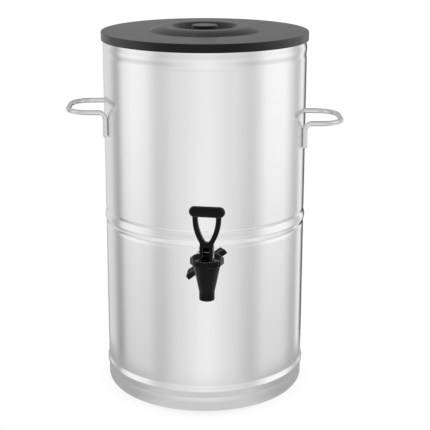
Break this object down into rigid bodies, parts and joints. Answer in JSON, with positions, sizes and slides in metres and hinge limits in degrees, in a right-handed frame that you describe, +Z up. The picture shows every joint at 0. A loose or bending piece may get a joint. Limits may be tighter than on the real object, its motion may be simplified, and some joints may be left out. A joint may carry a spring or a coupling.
{
  "type": "iced tea dispenser",
  "caption": "Tall round ribbed steel vessel with a lift-off black lid, wire side handles and a black lever tap that pours cold tea when its handle is tilted forward.",
  "frame": {"origin": "centre of the base pan's flat underside, on the table and on the vessel's axis", "axes": "+Z up along the vessel's axis, -Y toward the tap and the person who pours, +X to the right as seen from the front"},
  "size_m": [0.342, 0.3105, 0.4582],
  "materials": {
    "steel": "satin",
    "lid_plastic": "matte",
    "knob_plastic": "satin",
    "tap_plastic": "satin",
    "rubber": "matte"
  },
  "bodies": {
    "vessel": {"body_shell": "steel", "tank_floor": "steel", "base_pan": "steel", "left_handle": "steel", "right_handle": "steel", "shank_nipple": "steel", "outer_washer": "rubber", "inner_washer": "rubber", "lock_nut": "steel", "tail_gasket": "rubber", "tap_body": "tap_plastic", "bonnet_gasket": "rubber", "bonnet": "tap_plastic", "stem_seal": "rubber", "stem_spring": "steel"},
    "lid": {"lid_cover": "lid_plastic", "lid_gasket": "rubber", "lid_knob": "knob_plastic", "knob_washer": "rubber", "knob_screw": "steel"},
    "clamp_nut": {"wing_nut": "tap_plastic"},
    "stem": {"valve_stem": "tap_plastic", "seat_plug": "rubber"},
    "lever": {"lever": "tap_plastic", "lever_pin": "steel"}
  },
  "joints": [
    {"name": "lid_lift", "type": "slide", "parent": "vessel", "child": "lid", "axis": [0, 0, 1], "range_m": [0, 0.08]},
    {"name": "wing_nut_turn", "type": "hinge", "parent": "vessel", "child": "clamp_nut", "pos_m": [0, -0.137, 0.1975], "axis": [0, -1, 0], "continuous": true},
    {"name": "stem_lift", "type": "slide", "parent": "vessel", "child": "stem", "axis": [0, 0, 1], "range_m": [0, 0.004], "deforming": ["stem_spring"]},
    {"name": "lever_tilt", "type": "hinge", "parent": "stem", "child": "lever", "pos_m": [0, -0.164, 0.2148], "axis": [0.9848, -0.1736, 0], "range_deg": [0, 40.05], "stiffness_Nm_per_rad": 0.35, "springref_deg": -11.46}
  ],
  "couplings": [
    {"joint": "lever_tilt", "follows": "stem_lift", "rad_per_m": 174.53}
  ]
}
